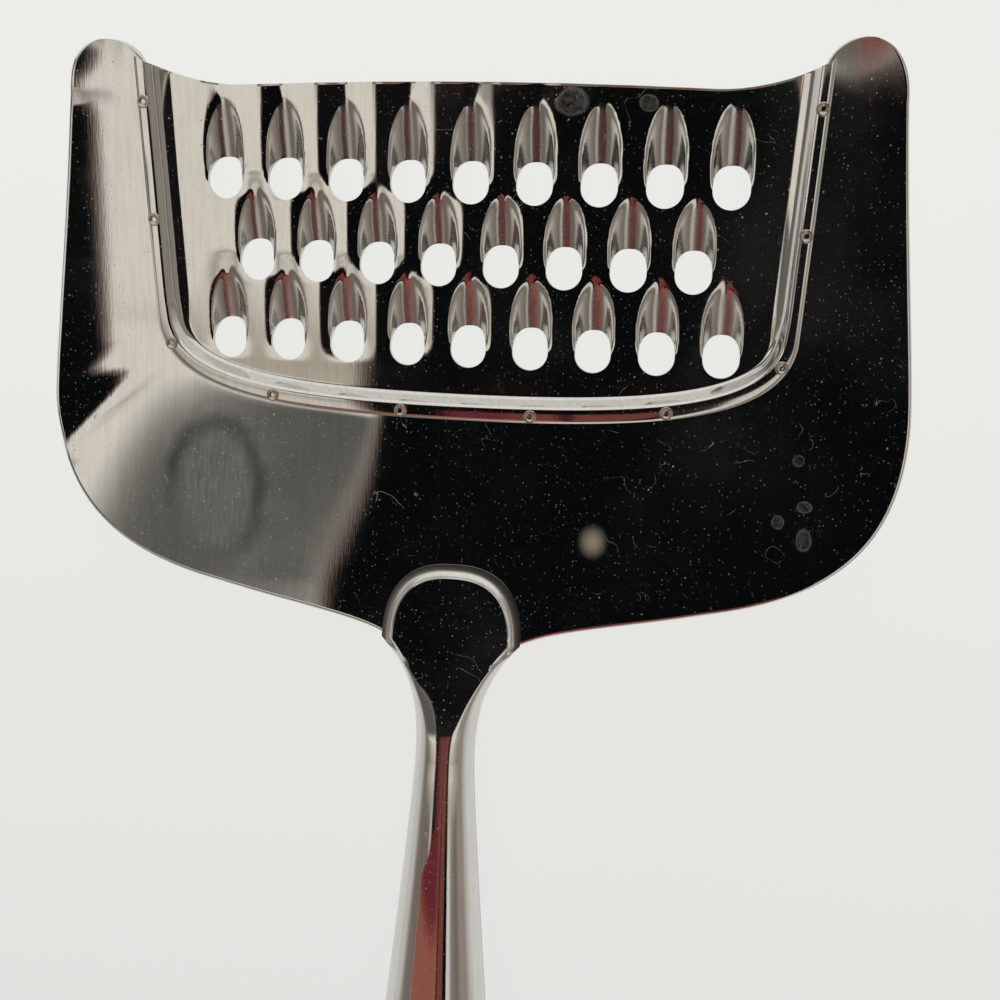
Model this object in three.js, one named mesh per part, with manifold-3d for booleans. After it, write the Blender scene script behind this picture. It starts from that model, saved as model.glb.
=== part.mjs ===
// Stainless steel hand grater lying on a table: a dished frame plate, a perforated grating panel let
// into its mouth, and a hollow two-shell handle welded over the frame's tang.
// Millimetres. Modelled with the panel level and the handle towards -Y, then tipped to lie on z = 0.
import * as THREE from 'three';
import Module from 'manifold-3d';

const wasm = await Module();
wasm.setup();

// Grating pattern
const COLUMNS = 9;
const COLUMN_PITCH = 7.0;
const ROW_PITCH = 8.95;
const HOLE_RADIUS = 2.0;
const LIP_REACH = 2.6;
const LIP_DEPTH = 1.7;
const SCOOP_HALF_WIDTH = 2.6;
const SCOOP_WIDEST = 1.8;
const FRONT_SCOOP_LENGTH = 9.0;
const SCOOP_LENGTH = 8.1;
const SCOOP_POINT = 1.8;
const SCOOP_FALL = 0.85;

// Grating panel: level floor, step up, flange
const PANEL_SHEET = 0.5;
const PANEL_STEP = 1.5;
const WALL_RUN = 0.9;
const FLANGE_WIDTH = 1.7;
const FRONT_MARGIN = 1.75;
const REAR_MARGIN = 5.2;
const SIDE_MARGIN = 7.0;
const SIDE_TAPER = 1.55;
const REAR_CORNER_DEPTH = 7.7;
const REAR_CORNER_SQUARE = 6.7;
const REAR_BOW_REACH = 18.0;
const FREE_EDGE_BOW = 1.1;
const FREE_CORNER_RISE = 2.6;
const FREE_CORNER_RUN = 12.4;

// Frame plate: flat land under the flange, then a dish
const FRAME_SHEET = 1.0;
const SEAT_GAP = 0.05;
const WINDOW_CLEARANCE = 0.15;
const LAND_MARGIN = 0.3;
const DISH_RADIUS = 50.0;
const DISH_RUN = 13.0;
const WING_WIDTH = 7.5;
const WING_FLARE = 3.0;
const WING_STRAIGHT_END = 3.4;
const LOBE_RISE = 4.1;
const LOBE_INNER_SET = 1.5;
const LOBE_OUTER_SET = 0.5;
const LOBE_CURL_LEAD = 2.0;
const LOBE_CURL_RUN = 5.0;
const LOBE_CURL_RISE = 0.5;
const WING_DEPTH = 0.5;
const REAR_ROUND = 12.0;
const REAR_SHOULDER = 28.0;
const REAR_SHOULDER_BACK = 19.6;
const REAR_SHOULDER_REACH = 12.0;
const APRON_DEPTH = 24.6;
const FLARE_REACH = 8.0;
const FLARE_END_REACH = 3.0;
const FLARE_END_DROP = 1.8;

// Tang inside the handle
const TANG_CLEARANCE = 0.45;
const TANG_LENGTH = 13.0;
const TANG_OVERLAP = 3.0;
const TANG_THINNING = 0.03;

// Hollow handle
const HANDLE_WALL = 0.8;
const TONGUE_GAP = 0.1;
const TONGUE_RADIUS = 8.0;
const TONGUE_BEVEL = 1.2;
const TONGUE_EDGE = 0.12;
const NECK_DISTANCE = 13.0;
const NECK_HALF_WIDTH = 3.35;
const NECK_CROWN = 2.9;
const NECK_SWEEP = 2.65;
const BELLY_DISTANCE = 86.0;
const BELLY_HALF_WIDTH = 9.0;
const BELLY_CROWN = 6.2;
const BELLY_SWELL = 1.2;
const END_LENGTH = 30.0;
const HANDLE_SLOPE = 0.12;
const BEND_START = 5.0;
const BEND_LENGTH = 16.0;
const SEAM_GAP = 0.1;
const SEAM_CLOSING = 3.0;

// Spot welds
const WELD_RADIUS = 0.5;
const WELD_CLEARANCE = 0.05;
const WELD_INSET = 0.75;
const WELD_RIM = 0.2;
const WELD_SLOPE = 0.1;
const WELD_DIMPLE = 0.15;
const MOUTH_WELD_BACK = 4.0;
const SIDE_WELD_BACK = 16.7;
const CORNER_WELD_DROP = 2.9;
const REAR_OUTER_WELD = 22.45;
const REAR_INNER_WELD = 7.35;
const TONGUE_WELD_RADIUS = 1.5;
const TONGUE_WELD_POCKET = 0.3;
const TONGUE_WELD_EDGE = 2.5;
const TONGUE_WELD_TURN = 40;

// Mesh fineness
const SIDE_STEPS = 8;
const CORNER_STEPS = 14;
const FREE_EDGE_STEPS = 16;
const SCOOP_STEPS = 4;
const SCOOP_ACROSS = 6;
const HOLE_STEPS = 6;
const DISH_STEPS = 6;
const LOBE_STEPS = 8;
const LOBE_TIP_SHARE = 0.48;
const OUTLINE_STEPS = 24;
const SECTION_STEPS = 12;
const TONGUE_TURNS = [84, 72, 60, 45, 30, 15];
const NECK_STEPS = 8;
const GRIP_STEPS = 9;
const END_TURNS = [0, 25, 45, 60, 72, 81, 86];
const WELD_SIDES = 12;
const MERGE_GRID = 1e5;
const PARALLEL = 1e-9;
const END_SLACK = 1e-6;

// Places that follow from the sizes
const patternHalf = (COLUMNS - 1) / 2 * COLUMN_PITCH;
const floorRear = -ROW_PITCH - REAR_MARGIN;
const floorFront = ROW_PITCH + FRONT_SCOOP_LENGTH + FRONT_MARGIN;
const floorMouthHalf = patternHalf + SIDE_MARGIN;
const floorRearHalf = floorMouthHalf - SIDE_TAPER;
const cornerY = floorRear + REAR_CORNER_DEPTH;
const flangeEdge = WALL_RUN + FLANGE_WIDTH;
const wallLean = PANEL_SHEET * Math.tan(Math.atan2(PANEL_STEP, WALL_RUN) / 2);
const windowEdge = WALL_RUN + wallLean + WINDOW_CLEARANCE;
const landEdge = flangeEdge + LAND_MARGIN;
const landTop = PANEL_STEP - PANEL_SHEET - SEAT_GAP;
const mouthHalf = floorMouthHalf + flangeEdge;
const wingTipHalf = mouthHalf + WING_WIDTH;
const wingRearHalf = wingTipHalf + WING_FLARE;
const apronEnd = floorRear - flangeEdge - APRON_DEPTH;
const tongueY = apronEnd;
const neckY = tongueY - NECK_DISTANCE;
const bellyY = neckY - BELLY_DISTANCE;
const dishSlope = DISH_RUN / DISH_RADIUS;
const tangHalf = NECK_HALF_WIDTH - HANDLE_WALL - TANG_CLEARANCE;

const clamp01 = (t) => Math.min(1, Math.max(0, t));
const smooth = (t) => clamp01(t) ** 2 * (3 - 2 * clamp01(t));
const vec2 = (x, y) => new THREE.Vector2(x, y);

// Triangle list with shared vertices
class Skin {
  constructor() {
    this.points = [];
    this.faces = [];
  }

  point(x, y, z) {
    this.points.push(x, y, z);
    return this.points.length / 3 - 1;
  }

  triangle(a, b, c) {
    this.faces.push(a, b, c);
  }

  quad(a, b, c, d) {
    this.triangle(a, b, c);
    this.triangle(a, c, d);
  }

  // Band between two equally long rows of vertices
  band(first, second) {
    for (let i = 0; i + 1 < first.length; i += 1) {
      this.quad(first[i], first[i + 1], second[i + 1], second[i]);
    }
  }

  solid() {
    return new wasm.Manifold(new wasm.Mesh({
      numProp: 3,
      vertProperties: new Float32Array(this.points),
      triVerts: new Uint32Array(this.faces),
    }));
  }
}

// Closed three.js geometry to a solid, with its shared vertices merged
function solidFrom(geometry) {
  const skin = new Skin();
  const seen = new Map();
  const position = geometry.attributes.position;
  const index = geometry.index;
  const vertex = (i) => {
    const p = [position.getX(i), position.getY(i), position.getZ(i)];
    const key = p.map((value) => Math.round(value * MERGE_GRID)).join(' ');
    if (!seen.has(key)) seen.set(key, skin.point(...p));
    return seen.get(key);
  };
  for (let i = 0; i < index.count; i += 3) {
    const [a, b, c] = [0, 1, 2].map((k) => vertex(index.getX(i + k)));
    if (a !== b && b !== c && c !== a) skin.triangle(a, b, c);
  }
  return skin.solid();
}

function geometryFrom(solid) {
  const mesh = solid.getMesh();
  const geometry = new THREE.BufferGeometry();
  const stride = mesh.numProp;
  const position = new Float32Array(mesh.numVert * 3);
  for (let i = 0; i < mesh.numVert; i += 1) {
    position.set(mesh.vertProperties.subarray(i * stride, i * stride + 3), i * 3);
  }
  geometry.setAttribute('position', new THREE.BufferAttribute(position, 3));
  geometry.setIndex(new THREE.BufferAttribute(new Uint32Array(mesh.triVerts), 1));
  geometry.computeVertexNormals();
  return geometry;
}

// Rear curve of the panel floor, from the middle of the rear edge to the start of the right side
const rearCurve = new THREE.CubicBezierCurve(
  vec2(0, floorRear),
  vec2(REAR_BOW_REACH, floorRear),
  vec2(floorRearHalf - SIDE_TAPER / 2, cornerY - REAR_CORNER_SQUARE),
  vec2(floorRearHalf, cornerY),
);

// Free edge of the panel: a slight bow with raised corners
function freeEdgeY(x) {
  const bow = FREE_EDGE_BOW * (x / mouthHalf) ** 2;
  const past = clamp01((Math.abs(x) - mouthHalf + FREE_CORNER_RUN) / FREE_CORNER_RUN);
  return floorFront - bow + FREE_CORNER_RISE * past ** 2;
}

// Half of the floor's outline, offset outwards by d, from the middle of the rear edge to the mouth
function halfOutline(d) {
  const points = [];
  for (let i = 0; i <= CORNER_STEPS; i += 1) {
    const t = i / CORNER_STEPS;
    const along = rearCurve.getTangent(t);
    const at = rearCurve.getPoint(t);
    points.push(vec2(at.x + along.y * d, at.y - along.x * d));
  }
  const start = points[CORNER_STEPS];
  const mouthX = floorMouthHalf + d;
  const mouth = vec2(mouthX, freeEdgeY(mouthX));
  for (let i = 1; i <= SIDE_STEPS; i += 1) {
    points.push(start.clone().lerp(mouth, i / SIDE_STEPS));
  }
  return points;
}

// Whole outline from the left mouth corner round the rear to the right mouth corner
function wholeOutline(d) {
  const right = halfOutline(d);
  const left = right.slice(1).reverse().map((p) => vec2(-p.x, p.y));
  return [...left, ...right];
}

// Half-width of a scoop at y from its hole's centre, for a scoop of a given length
function scoopHalf(y, length) {
  if (y < SCOOP_WIDEST) {
    return SCOOP_HALF_WIDTH - (SCOOP_HALF_WIDTH - HOLE_RADIUS) * ((SCOOP_WIDEST - y) / SCOOP_WIDEST) ** 2;
  }
  return SCOOP_HALF_WIDTH * (1 - ((y - SCOOP_WIDEST) / (length - SCOOP_WIDEST)) ** SCOOP_POINT);
}

function scoopDepth(x, y, length) {
  const along = clamp01((length - y) / (length - LIP_REACH)) ** SCOOP_FALL;
  const half = scoopHalf(y, length);
  const across = half > 0 ? Math.max(0, 1 - (x / half) ** 2) : 0;
  return LIP_DEPTH * along * across;
}

// Rows of a scoop from its lip to just below its tip, each from the right side to the left
function scoopRows(length) {
  const rows = [];
  for (let a = 0; a < SCOOP_STEPS; a += 1) {
    const row = [];
    for (let b = 0; b <= SCOOP_ACROSS; b += 1) {
      const turn = Math.PI / 2 * (1 - 2 * b / SCOOP_ACROSS);
      const lipX = HOLE_RADIUS * Math.sin(turn);
      const lipY = LIP_REACH * Math.cos(turn);
      const y = lipY + (length - lipY) * a / SCOOP_STEPS;
      const lipShare = lipX / scoopHalf(lipY, length);
      const share = lipShare + (Math.sin(turn) - lipShare) * a / SCOOP_STEPS;
      const x = share * scoopHalf(y, length);
      row.push(new THREE.Vector3(x, y, -scoopDepth(x, y, length)));
    }
    rows.push(row);
  }
  return rows;
}

// Centres of the grating holes, in three staggered rows
function gratingHoles() {
  const holes = [];
  for (const row of [1, 0, -1]) {
    const count = row === 0 ? COLUMNS - 1 : COLUMNS;
    const length = row === 1 ? FRONT_SCOOP_LENGTH : SCOOP_LENGTH;
    for (let i = 0; i < count; i += 1) {
      holes.push({ x: (i - (count - 1) / 2) * COLUMN_PITCH, y: row * ROW_PITCH, length });
    }
  }
  return holes;
}

// Adds one scoop to the skin and returns the vertices round its opening, on top and below
function addScoop(skin, hole) {
  const place = (p, drop) => skin.point(hole.x + p.x, hole.y + p.y, p.z - drop);
  const rows = scoopRows(hole.length);
  const top = rows.map((row) => row.map((p) => place(p, 0)));
  const under = rows.map((row) => row.map((p) => place(p, PANEL_SHEET)));
  const tip = new THREE.Vector3(0, hole.length, 0);
  const tipTop = place(tip, 0);
  const tipUnder = place(tip, PANEL_SHEET);
  for (let a = 0; a < SCOOP_STEPS; a += 1) {
    for (let b = 0; b < SCOOP_ACROSS; b += 1) {
      if (a + 1 < SCOOP_STEPS) {
        skin.quad(top[a][b], top[a + 1][b], top[a + 1][b + 1], top[a][b + 1]);
        skin.quad(under[a][b], under[a][b + 1], under[a + 1][b + 1], under[a + 1][b]);
      } else {
        skin.triangle(top[a][b], tipTop, top[a][b + 1]);
        skin.triangle(under[a][b], under[a][b + 1], tipUnder);
      }
    }
  }
  skin.band([...under[0]].reverse(), [...top[0]].reverse());
  const arcTop = [top[0][SCOOP_ACROSS]];
  const arcUnder = [under[0][SCOOP_ACROSS]];
  for (let i = 1; i < HOLE_STEPS; i += 1) {
    const turn = Math.PI * (1 + i / HOLE_STEPS);
    const p = new THREE.Vector3(HOLE_RADIUS * Math.cos(turn), HOLE_RADIUS * Math.sin(turn), 0);
    arcTop.push(place(p, 0));
    arcUnder.push(place(p, PANEL_SHEET));
  }
  arcTop.push(top[0][0]);
  arcUnder.push(under[0][0]);
  skin.band([...arcUnder].reverse(), [...arcTop].reverse());
  const around = (grid, last, arc) => [
    ...grid.map((row) => row[0]),
    last,
    ...grid.map((row) => row[SCOOP_ACROSS]).reverse(),
    ...arc.slice(1, -1),
  ];
  return { top: around(top, tipTop, arcTop), under: around(under, tipUnder, arcUnder) };
}

// Grating panel: pierced floor, step wall and flange as one pressed sheet, with its weld holes
function gratingPanel() {
  const skin = new Skin();
  const profileTop = [[0, 0], [WALL_RUN, PANEL_STEP], [flangeEdge, PANEL_STEP]];
  const profileUnder = [
    [wallLean, -PANEL_SHEET],
    [WALL_RUN + wallLean, PANEL_STEP - PANEL_SHEET],
    [flangeEdge, PANEL_STEP - PANEL_SHEET],
  ];
  const layRow = ([d, z]) => wholeOutline(d).map((p) => skin.point(p.x, p.y, z));
  const top = profileTop.map(layRow);
  const under = profileUnder.map(layRow);
  for (let k = 0; k < 2; k += 1) {
    skin.band(top[k + 1], top[k]);
    skin.band(under[k], under[k + 1]);
    const last = top[k].length - 1;
    skin.quad(under[k][0], under[k + 1][0], top[k + 1][0], top[k][0]);
    skin.quad(under[k + 1][last], under[k][last], top[k][last], top[k + 1][last]);
  }
  skin.band(under[2], top[2]);

  const edgeTop = [];
  const edgeUnder = [];
  for (let i = 1; i < FREE_EDGE_STEPS; i += 1) {
    const x = floorMouthHalf * (1 - 2 * i / FREE_EDGE_STEPS);
    edgeTop.push(skin.point(x, freeEdgeY(x), 0));
    edgeUnder.push(skin.point(x, freeEdgeY(x), -PANEL_SHEET));
  }
  const lastOf = (row) => row[row.length - 1];
  skin.band([lastOf(under[0]), ...edgeUnder, under[0][0]], [lastOf(top[0]), ...edgeTop, top[0][0]]);

  const openings = gratingHoles().map((hole) => addScoop(skin, hole));
  const rimTop = [...top[0], ...edgeTop];
  const rimUnder = [...under[0], ...edgeUnder];
  const flat = (list) => list.map((i) => vec2(skin.points[3 * i], skin.points[3 * i + 1]));
  const faces = THREE.ShapeUtils.triangulateShape(flat(rimTop), openings.map((o) => flat(o.top)));
  const allTop = [rimTop, ...openings.map((o) => o.top)].flat();
  const allUnder = [rimUnder, ...openings.map((o) => o.under)].flat();
  for (const [a, b, c] of faces) {
    skin.triangle(allTop[a], allTop[b], allTop[c]);
    skin.triangle(allUnder[a], allUnder[c], allUnder[b]);
  }

  let panel = skin.solid();
  for (const place of flangeWeldPlaces()) {
    const radius = WELD_RADIUS + WELD_CLEARANCE;
    const drill = new THREE.CylinderGeometry(radius, radius, 2 * PANEL_STEP, WELD_SIDES);
    drill.rotateX(Math.PI / 2);
    drill.translate(place.x, place.y, PANEL_STEP);
    panel = panel.subtract(solidFrom(drill));
  }
  return geometryFrom(panel);
}

// Places of the flange welds: on each side by their y, on each rear half by their x
function flangeWeldPlaces() {
  const line = halfOutline(flangeEdge - WELD_INSET);
  const crossing = (axis, value) => {
    for (let i = 0; i + 1 < line.length; i += 1) {
      const from = line[i][axis];
      const to = line[i + 1][axis];
      if (from <= value && value < to) {
        return line[i].clone().lerp(line[i + 1], (value - from) / (to - from));
      }
    }
    return line[line.length - 1].clone();
  };
  const flangeTip = freeEdgeY(mouthHalf);
  const right = [
    crossing('y', flangeTip - MOUTH_WELD_BACK),
    crossing('y', flangeTip - SIDE_WELD_BACK),
    crossing('y', cornerY - CORNER_WELD_DROP),
    crossing('x', REAR_OUTER_WELD),
    crossing('x', REAR_INNER_WELD),
  ];
  const left = right.map((p) => vec2(-p.x, p.y));
  return [...left, ...right.reverse()];
}

// Weld nugget standing in the flange's weld hole, with a dimple left by the electrode
function flangeWeld(place) {
  const bottom = landTop + SEAT_GAP;
  const profile = [
    vec2(0, bottom),
    vec2(WELD_RADIUS, bottom),
    vec2(WELD_RADIUS, PANEL_STEP),
    vec2(WELD_RADIUS - WELD_RIM, PANEL_STEP),
    vec2(WELD_RADIUS - WELD_RIM - WELD_SLOPE, PANEL_STEP - WELD_DIMPLE),
    vec2(0, PANEL_STEP - WELD_DIMPLE),
  ];
  const nugget = new THREE.LatheGeometry(profile, WELD_SIDES);
  nugget.rotateX(Math.PI / 2);
  nugget.translate(place.x, place.y, 0);
  return geometryFrom(solidFrom(nugget));
}

// Fine line round the panel floor, from which the dish is measured
const dishLine = wholeOutline(0);

function dishDistance(x, y) {
  const at = new THREE.Vector3(x, y, 0);
  const near = new THREE.Vector3();
  const segment = new THREE.Line3();
  let best = Infinity;
  for (let i = 0; i + 1 < dishLine.length; i += 1) {
    segment.start.set(dishLine[i].x, dishLine[i].y, 0);
    segment.end.set(dishLine[i + 1].x, dishLine[i + 1].y, 0);
    segment.closestPointToPoint(at, true, near);
    best = Math.min(best, near.distanceTo(at));
  }
  return best;
}

// Height of the dish at a run s outside the land
function dishRise(s) {
  const bent = Math.min(Math.max(s, 0), DISH_RUN);
  return bent * bent / (2 * DISH_RADIUS) + dishSlope * Math.max(0, s - DISH_RUN);
}

// Top of the frame: the level land, the dish round it and the upward curl of the lobes
function frameTop(x, y) {
  const run = dishDistance(x, y) - landEdge;
  const curl = clamp01((y - freeEdgeY(mouthHalf) + LOBE_CURL_LEAD) / LOBE_CURL_RUN) ** 2;
  return landTop + dishRise(run) + LOBE_CURL_RISE * curl * smooth(run / LOBE_CURL_RUN);
}

// Outer outline of the right half of the frame, from the lobe's inner foot to the middle of the apron
function frameOutline() {
  const window = halfOutline(windowEdge);
  const foot = window[window.length - 1];
  const wingY = foot.y - WING_STRAIGHT_END;
  const rearY = floorRear - flangeEdge + WING_DEPTH;
  const lobe = new THREE.CubicBezierCurve(
    foot.clone(),
    vec2(foot.x + LOBE_INNER_SET, foot.y + LOBE_RISE),
    vec2(wingTipHalf - LOBE_OUTER_SET, foot.y + LOBE_RISE),
    vec2(wingTipHalf, wingY),
  );
  const wing = new THREE.LineCurve(vec2(wingTipHalf, wingY), vec2(wingRearHalf, rearY));
  const shoulderY = floorRear - flangeEdge - REAR_SHOULDER_BACK;
  const fall = (shoulderY - apronEnd) / (REAR_SHOULDER - TONGUE_RADIUS);
  const corner = new THREE.CubicBezierCurve(
    vec2(wingRearHalf, rearY),
    vec2(wingRearHalf, rearY - REAR_ROUND),
    vec2(REAR_SHOULDER + REAR_SHOULDER_REACH, shoulderY + REAR_SHOULDER_REACH * fall),
    vec2(REAR_SHOULDER, shoulderY),
  );
  const flare = new THREE.CubicBezierCurve(
    vec2(REAR_SHOULDER, shoulderY),
    vec2(REAR_SHOULDER - FLARE_REACH, shoulderY - FLARE_REACH * fall),
    vec2(TONGUE_RADIUS + FLARE_END_REACH, apronEnd + FLARE_END_DROP),
    vec2(TONGUE_RADIUS - TONGUE_EDGE, apronEnd),
  );
  return { lobe, wing, corner, flare };
}

// Where a ray from a point meets the frame's outer outline behind the lobe
function outlineHit(from, direction, line) {
  let best = from.clone();
  let far = 0;
  for (let i = 0; i + 1 < line.length; i += 1) {
    const along = line[i + 1].clone().sub(line[i]);
    const gap = line[i].clone().sub(from);
    const cross = direction.cross(along);
    if (Math.abs(cross) < PARALLEL) continue;
    const run = gap.cross(along) / cross;
    const share = gap.cross(direction) / cross;
    if (share >= -END_SLACK && share <= 1 + END_SLACK && run > far) {
      far = run;
      best = from.clone().addScaledVector(direction, run);
    }
  }
  return best;
}

// Pairs of inner and outer points across the right half of the frame, from the apron to the lobe's tip
function framePairs() {
  const { lobe, wing, corner, flare } = frameOutline();
  const outer = [
    ...lobe.getPoints(OUTLINE_STEPS).slice(OUTLINE_STEPS / 2),
    ...corner.getPoints(OUTLINE_STEPS),
    ...flare.getPoints(OUTLINE_STEPS),
    vec2(0, apronEnd),
  ];
  const inner = halfOutline(windowEdge);
  const base = halfOutline(0);
  const pairs = [];
  const wingY = wing.v1.y;
  for (let i = 0; i < inner.length && inner[i].y < wingY; i += 1) {
    const direction = i > CORNER_STEPS ? vec2(1, 0) : inner[i].clone().sub(base[i]).normalize();
    pairs.push([inner[i], outlineHit(inner[i], direction, outer)]);
  }
  const side = inner.filter((p) => p.y >= wingY);
  const sideSteps = side.length;
  const total = sideSteps + LOBE_STEPS;
  for (let i = 0; i < total; i += 1) {
    const past = Math.max(0, i - sideSteps + 1) / (LOBE_STEPS + 1);
    const inside = i < sideSteps ? side[i] : lobe.getPoint(LOBE_TIP_SHARE * past);
    const outside = lobe.getPoint(1 - LOBE_TIP_SHARE * (i + 0.5) / total);
    pairs.push([inside, outside]);
  }
  return pairs;
}

// Frame plate: land, dish, wings, apron and tang, with the holes of the tongue welds
function framePlate() {
  const skin = new Skin();
  const right = framePairs();
  const left = right.slice(1).reverse().map((pair) => pair.map((p) => vec2(-p.x, p.y)));
  const pairs = [...left, ...right];
  const landWidth = landEdge - windowEdge;
  const column = ([inner, outer], drop) => {
    const width = inner.distanceTo(outer);
    const land = Math.min(landWidth, width / 2);
    const indices = [];
    for (let k = 0; k <= DISH_STEPS + 1; k += 1) {
      const run = k === 0 ? 0 : land + (width - land) * (k - 1) / DISH_STEPS;
      const p = inner.clone().lerp(outer, run / width);
      indices.push(skin.point(p.x, p.y, frameTop(p.x, p.y) - drop));
    }
    return indices;
  };
  const top = pairs.map((pair) => column(pair, 0));
  const under = pairs.map((pair) => column(pair, FRAME_SHEET));
  const end = DISH_STEPS + 1;
  for (let i = 0; i + 1 < pairs.length; i += 1) {
    skin.band(top[i], top[i + 1]);
    skin.band(under[i + 1], under[i]);
    skin.quad(under[i][end], under[i + 1][end], top[i + 1][end], top[i][end]);
    skin.quad(under[i + 1][0], under[i][0], top[i][0], top[i + 1][0]);
  }
  const last = pairs.length - 1;
  skin.band(under[0], top[0]);
  skin.band([...under[last]].reverse(), [...top[last]].reverse());
  let frame = skin.solid();
  frame = frame.add(tang());
  for (const side of [-1, 1]) {
    frame = frame.subtract(tongueWeldBar(side, TONGUE_WELD_RADIUS + WELD_CLEARANCE, tongueWeldDrill));
  }
  return geometryFrom(frame);
}

// Height of the frame's top along its middle line, carried on straight past the apron
function apronTop(y) {
  return landTop + dishRise(floorRear - landEdge - y);
}

// Flat tang that runs on from the apron into the handle
function tang() {
  const skin = new Skin();
  const start = apronEnd + TANG_OVERLAP;
  const finish = apronEnd - TANG_LENGTH;
  const ring = (y) => {
    const high = apronTop(y) - TANG_THINNING;
    const low = apronTop(y) - FRAME_SHEET + TANG_THINNING;
    return [
      skin.point(-tangHalf, y, low),
      skin.point(tangHalf, y, low),
      skin.point(tangHalf, y, high),
      skin.point(-tangHalf, y, high),
    ];
  };
  const near = ring(finish);
  const far = ring(start);
  skin.band([...far, far[0]], [...near, near[0]]);
  skin.quad(...near);
  skin.quad(...[...far].reverse());
  return skin.solid();
}

// Bar square to the apron at a tongue weld's place
function tongueWeldBar(side, radius, length) {
  const turn = THREE.MathUtils.degToRad(TONGUE_WELD_TURN);
  const reach = TONGUE_RADIUS - TONGUE_WELD_EDGE;
  const y = tongueY + reach * Math.cos(turn);
  const bar = new THREE.CylinderGeometry(radius, radius, length, WELD_SIDES);
  bar.rotateX(Math.PI / 2 - Math.atan(dishSlope));
  bar.translate(side * reach * Math.sin(turn), y, apronTop(y) - FRAME_SHEET / 2);
  return solidFrom(bar);
}

const tongueWeldLength = FRAME_SHEET + 2 * TONGUE_GAP + 2 * TONGUE_WELD_POCKET;
const tongueWeldDrill = 2 * tongueWeldLength;

function tongueWeld(side) {
  return geometryFrom(tongueWeldBar(side, TONGUE_WELD_RADIUS, tongueWeldLength));
}

// Middle surface of the handle: level with the frame's middle under the tongue, then bent to the grip
function seamHeight(y) {
  const bendY = tongueY - BEND_START;
  if (y >= bendY) return apronTop(y) - FRAME_SHEET / 2;
  const run = bendY - y;
  const bent = Math.min(run, BEND_LENGTH) / BEND_LENGTH;
  const eased = BEND_LENGTH * (bent ** 3 - bent ** 4 / 2);
  const past = Math.max(0, run - BEND_LENGTH);
  const start = apronTop(bendY) - FRAME_SHEET / 2;
  return start + dishSlope * (run - eased - past) + HANDLE_SLOPE * (eased + past);
}

// Share of the way from neck to belly that the handle has swelled at y
function swell(y) {
  const t = clamp01((neckY - y) / BELLY_DISTANCE);
  return Math.sin(Math.PI / 2 * t) ** BELLY_SWELL;
}

function endTaper(y) {
  return Math.sqrt(Math.max(0, 1 - Math.max(0, (bellyY - y) / END_LENGTH) ** 2));
}

function handleHalf(y) {
  if (y > tongueY) return Math.sqrt(Math.max(0, TONGUE_RADIUS ** 2 - (y - tongueY) ** 2));
  if (y > neckY) {
    const sweep = ((y - neckY) / NECK_DISTANCE) ** NECK_SWEEP;
    return NECK_HALF_WIDTH + (TONGUE_RADIUS - NECK_HALF_WIDTH) * sweep;
  }
  return (NECK_HALF_WIDTH + (BELLY_HALF_WIDTH - NECK_HALF_WIDTH) * swell(y)) * endTaper(y);
}

const tongueCrown = FRAME_SHEET / 2 + TONGUE_GAP + HANDLE_WALL;

function handleCrown(y) {
  if (y > neckY) return tongueCrown + (NECK_CROWN - tongueCrown) * smooth((tongueY - y) / NECK_DISTANCE);
  return (NECK_CROWN + (BELLY_CROWN - NECK_CROWN) * swell(y)) * endTaper(y);
}

// Half of the slit between the two shells: the frame's thickness at the tongue, a hairline after it
function seamHalf(y) {
  const open = FRAME_SHEET / 2 + TONGUE_GAP;
  return open + (SEAM_GAP / 2 - open) * smooth((tongueY - TONGUE_EDGE - y) / SEAM_CLOSING);
}

// Height over the seam of a shell's outer face: a bevelled flat on the tongue, an oval on the grip
function shellHeight(x, y) {
  const half = handleHalf(y);
  const slit = seamHalf(y);
  const crown = handleCrown(y);
  const fromEdge = y > tongueY ? TONGUE_RADIUS - Math.hypot(x, y - tongueY) : half - Math.abs(x);
  const flat = clamp01(fromEdge / TONGUE_BEVEL);
  const oval = Math.sqrt(Math.max(0, 1 - (x / half) ** 2));
  const share = flat + (oval - flat) * smooth((tongueY - y) / NECK_DISTANCE);
  return slit + TONGUE_EDGE + Math.max(0, crown - slit - TONGUE_EDGE) * share;
}

// Stations along the handle from the tongue's front to the closed end
function handleStations() {
  const sine = (turn) => Math.sin(THREE.MathUtils.degToRad(turn));
  const stations = TONGUE_TURNS.map((turn) => tongueY + TONGUE_RADIUS * sine(turn));
  for (let i = 0; i < NECK_STEPS; i += 1) stations.push(tongueY - NECK_DISTANCE * i / NECK_STEPS);
  for (let i = 0; i < GRIP_STEPS; i += 1) stations.push(neckY - BELLY_DISTANCE * i / GRIP_STEPS);
  return [...stations, ...END_TURNS.map((turn) => bellyY - END_LENGTH * sine(turn))];
}

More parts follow.
